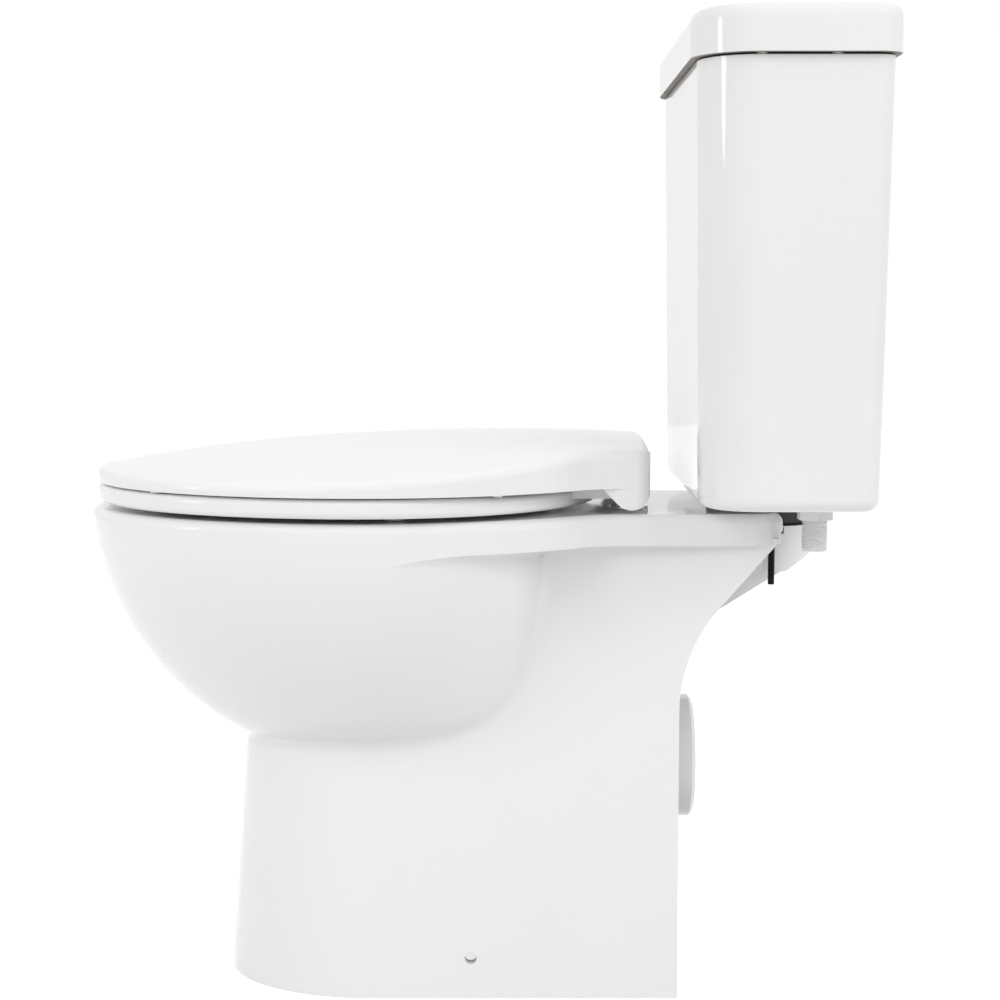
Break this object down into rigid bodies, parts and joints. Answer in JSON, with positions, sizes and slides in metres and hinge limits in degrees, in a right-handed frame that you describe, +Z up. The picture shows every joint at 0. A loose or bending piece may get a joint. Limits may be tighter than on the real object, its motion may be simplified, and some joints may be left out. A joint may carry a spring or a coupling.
{
  "type": "close coupled toilet",
  "caption": "Floor-standing close coupled toilet: glazed pan with hinged seat and lid, and a cistern bolted to its rear shelf with push-button flush and float fill valves.",
  "frame": {"origin": "on the floor, at the centre of the toilet's plan box", "axes": "+Z up, +Y to the wall behind the cistern, -Y to the front of the bowl, X across, with x = 0 the plane of symmetry of the china"},
  "size_m": [0.3746, 0.6455, 0.795],
  "materials": {
    "vitreous_china": "white glaze, high gloss",
    "seat_plastic": "white thermoset, gloss",
    "chrome": "bright chrome plate",
    "black_rubber": "black rubber",
    "black_steel": "black-coated steel",
    "steel": "stainless steel",
    "white_plastic": "white moulded plastic",
    "grey_plastic": "grey moulded plastic",
    "soft_pads": "white soft plastic pads"
  },
  "bodies": {
    "toilet": {"bolt_clamp_washers": "black_rubber", "bolt_head_washers": "black_rubber", "bolt_plain_washers": "black_steel", "bolt_wing_nuts": "black_steel", "button_bezel": "chrome", "button_lock_nut": "white_plastic", "cistern": "vitreous_china", "cistern_lid": "vitreous_china", "cistern_lid_pads": "soft_pads", "coupling_bolts": "black_steel", "coupling_seal": "black_rubber", "fill_valve_head": "white_plastic", "fill_valve_nut": "white_plastic", "fill_valve_shank": "white_plastic", "fill_valve_washer": "black_rubber", "float_arm_pivot": "steel", "flush_valve_base": "white_plastic", "flush_valve_nut": "white_plastic", "flush_valve_tower": "white_plastic", "flush_valve_washer": "black_rubber", "full_flush_pivot": "steel", "half_flush_pivot": "steel", "hinge_gaskets": "soft_pads", "hinge_posts": "chrome", "hinge_washers": "soft_pads", "hinge_wing_nuts": "white_plastic", "pan": "vitreous_china"},
    "seat": {"seat_ring": "seat_plastic", "seat_buffers": "soft_pads", "hinge_pins": "chrome"},
    "lid": {"seat_lid": "seat_plastic", "lid_buffers": "soft_pads"},
    "full_button": {"full_flush_button": "chrome", "full_flush_rod": "grey_plastic"},
    "half_button": {"half_flush_button": "chrome", "half_flush_rod": "grey_plastic"},
    "full_lever": {"full_flush_lever": "grey_plastic"},
    "half_lever": {"half_flush_lever": "grey_plastic"},
    "flush_lift": {"overflow_tube": "white_plastic", "flush_disc_seal": "black_rubber"},
    "half_lift": {"half_flush_float": "grey_plastic"},
    "fill_cup": {"fill_float": "grey_plastic"},
    "fill_arm": {"float_arm": "grey_plastic"}
  },
  "joints": [
    {"name": "seat_hinge", "type": "hinge", "parent": "toilet", "child": "seat", "pos_m": [0, 0.1272, 0.419], "axis": [-1, 0, 0], "range_deg": [0, 90]},
    {"name": "lid_hinge", "type": "hinge", "parent": "seat", "child": "lid", "pos_m": [0, 0.1272, 0.419], "axis": [1, 0, 0], "range_deg": [-90, 0]},
    {"name": "full_flush_press", "type": "slide", "parent": "toilet", "child": "full_button", "axis": [0, 0, -1], "range_m": [0, 0.008], "stiffness_N_per_m": 600, "springref_m": -0.005},
    {"name": "half_flush_press", "type": "slide", "parent": "toilet", "child": "half_button", "axis": [0, 0, -1], "range_m": [0, 0.008], "stiffness_N_per_m": 600, "springref_m": -0.005},
    {"name": "full_lever_turn", "type": "hinge", "parent": "toilet", "child": "full_lever", "pos_m": [0.034, 0.24495, 0.637], "axis": [0, -1, 0], "range_deg": [0, 36]},
    {"name": "half_lever_turn", "type": "hinge", "parent": "toilet", "child": "half_lever", "pos_m": [-0.034, 0.24495, 0.637], "axis": [0, 1, 0], "range_deg": [0, 36]},
    {"name": "flush_valve_lift", "type": "slide", "parent": "toilet", "child": "flush_lift", "axis": [0, 0, 1], "range_m": [0, 0.0095]},
    {"name": "half_float_lift", "type": "slide", "parent": "toilet", "child": "half_lift", "axis": [0, 0, 1], "range_m": [0, 0.0095]},
    {"name": "fill_float_slide", "type": "slide", "parent": "toilet", "child": "fill_cup", "axis": [0, 0, 1], "range_m": [0, 0.014]},
    {"name": "fill_arm_turn", "type": "hinge", "parent": "toilet", "child": "fill_arm", "pos_m": [0.11, 0.2727, 0.637], "axis": [0, 1, 0], "range_deg": [0, 36]}
  ],
  "couplings": [
    {"joint": "full_lever_turn", "follows": "full_flush_press", "rad_per_m": 77.5},
    {"joint": "flush_valve_lift", "follows": "full_flush_press", "ratio": 1.125},
    {"joint": "half_lever_turn", "follows": "half_flush_press", "rad_per_m": 77.5},
    {"joint": "half_float_lift", "follows": "half_flush_press", "ratio": 1.125},
    {"joint": "fill_arm_turn", "follows": "fill_float_slide", "rad_per_m": 42.9}
  ]
}
